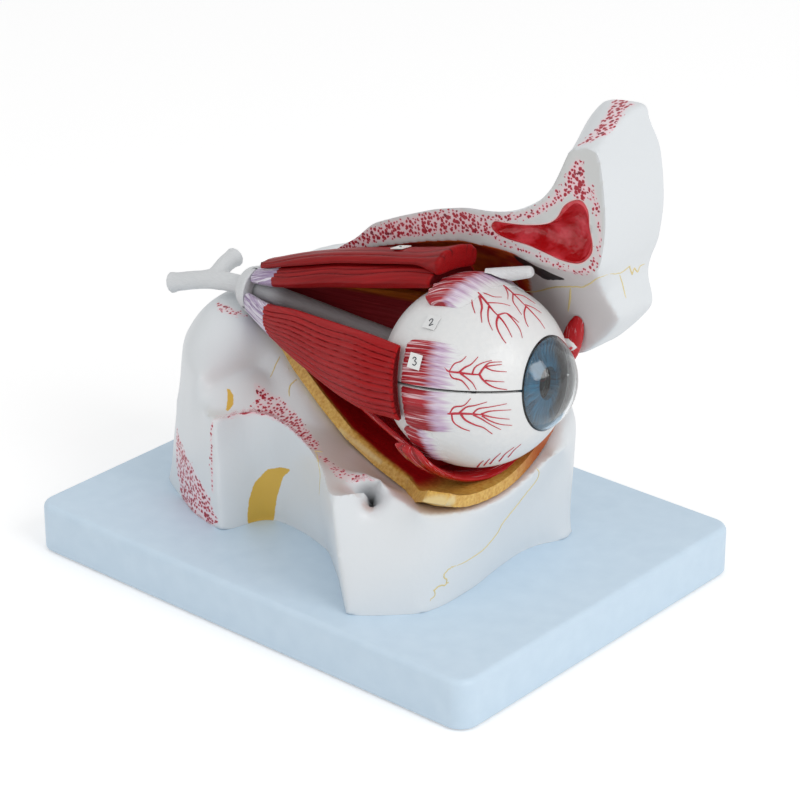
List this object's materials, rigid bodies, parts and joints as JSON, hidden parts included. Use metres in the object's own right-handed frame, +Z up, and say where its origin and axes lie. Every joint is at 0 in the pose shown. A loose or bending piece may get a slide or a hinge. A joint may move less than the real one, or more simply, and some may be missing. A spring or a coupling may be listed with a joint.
{
  "type": "eye anatomy model",
  "caption": "Enlarged right eyeball that lifts out of a sectioned bony orbit with its eye muscles, on a rectangular stand, for teaching anatomy.",
  "frame": {"origin": "centre of the footprint, level with the soles of the feet", "axes": "+X to the front of the face, +Y towards the nose, +Z up"},
  "size_m": [0.24, 0.18, 0.217],
  "materials": {
    "plate_board": "pale blue lacquer with a soft sheen",
    "rubber_feet": "black moulded rubber",
    "steel": "plain zinc-plated steel",
    "bone": "off-white hand-painted vinyl, semi-gloss, cut faces dotted in red",
    "fat": "yellow-ochre painted vinyl, semi-gloss",
    "muscle": "dark red painted vinyl with fine fibres, glossy",
    "tendon": "pale lavender and red streaked paint, glossy",
    "nerve": "off-white paint, glossy",
    "sclera": "white paint with painted red vessels, glossy",
    "choroid": "dark red-brown paint with painted vessels",
    "clear_parts": "clear polished acrylic",
    "iris": "blue-grey radial streaks, glossy",
    "label": "white paper sticker with a plain numeral"
  },
  "bodies": {
    "stand_and_orbit": {"base_plate": "plate_board", "rubber_foot_1": "rubber_feet", "rubber_foot_2": "rubber_feet", "rubber_foot_3": "rubber_feet", "rubber_foot_4": "rubber_feet", "base_screw_1": "steel", "base_screw_2": "steel", "base_screw_3": "steel", "base_screw_4": "steel", "orbit_lower_bone": "bone", "orbit_roof_bone": "bone", "optic_nerve": "nerve", "eyeball_mount_peg": "steel", "ring_magnet_lateral": "steel", "ring_magnet_superior": "steel", "tendon_ring": "bone", "medial_rectus": "muscle", "inferior_rectus": "muscle", "superior_oblique": "muscle", "inferior_oblique": "muscle", "orbital_fat": "fat", "lacrimal_sac": "muscle"},
    "eyeball": {"sclera_lower_half": "sclera", "choroid_lower_half": "choroid", "locating_pin_1": "steel", "locating_pin_2": "steel", "locating_pin_3": "steel", "lateral_insertion_lower": "tendon", "inferior_insertion": "tendon", "medial_insertion_lower": "tendon"},
    "upper_half": {"sclera_upper_half": "sclera", "choroid_upper_half": "choroid", "lateral_insertion_upper": "tendon", "superior_insertion": "tendon", "medial_insertion_upper": "tendon", "superior_oblique_tendon": "nerve", "number_label_1": "label", "number_label_2": "label"},
    "vitreous": {"vitreous_body": "clear_parts"},
    "lens": {"lens": "clear_parts"},
    "iris": {"iris": "iris"},
    "cornea": {"cornea": "clear_parts"},
    "lateral_rectus": {"lateral_rectus": "muscle", "lateral_rectus_magnet": "steel"},
    "superior_rectus": {"superior_rectus": "muscle", "superior_rectus_magnet": "steel", "levator_muscle": "muscle", "number_label_3": "label"}
  },
  "joints": [
    {"name": "eyeball_pull", "type": "slide", "parent": "stand_and_orbit", "child": "eyeball", "axis": [0.97, -0.243, 0], "range_m": [0, 0.09]},
    {"name": "upper_half_lift", "type": "slide", "parent": "eyeball", "child": "upper_half", "axis": [-0.134, 0.177, 0.975], "range_m": [0, 0.0261]},
    {"name": "vitreous_lift", "type": "slide", "parent": "eyeball", "child": "vitreous", "axis": [-0.134, 0.177, 0.975], "range_m": [0, 0.0131]},
    {"name": "cornea_pull", "type": "slide", "parent": "eyeball", "child": "cornea", "axis": [0.984, 0.14, 0.11], "range_m": [0, 0.034]},
    {"name": "iris_pull", "type": "slide", "parent": "eyeball", "child": "iris", "axis": [0.984, 0.14, 0.11], "range_m": [0, 0.0212]},
    {"name": "lens_pull", "type": "slide", "parent": "vitreous", "child": "lens", "axis": [0.984, 0.14, 0.11], "range_m": [0, 0.0105]},
    {"name": "lateral_rectus_pull", "type": "slide", "parent": "stand_and_orbit", "child": "lateral_rectus", "axis": [0, -0.6, 0.8], "range_m": [0, 0.05]},
    {"name": "superior_rectus_pull", "type": "slide", "parent": "stand_and_orbit", "child": "superior_rectus", "axis": [0, -0.6, 0.8], "range_m": [0, 0.05]}
  ],
  "couplings": [
    {"joint": "upper_half_lift", "follows": "eyeball_pull", "ratio": 0.289},
    {"joint": "vitreous_lift", "follows": "eyeball_pull", "ratio": 0.144},
    {"joint": "iris_pull", "follows": "cornea_pull", "ratio": 0.62},
    {"joint": "lens_pull", "follows": "cornea_pull", "ratio": 0.3}
  ]
}
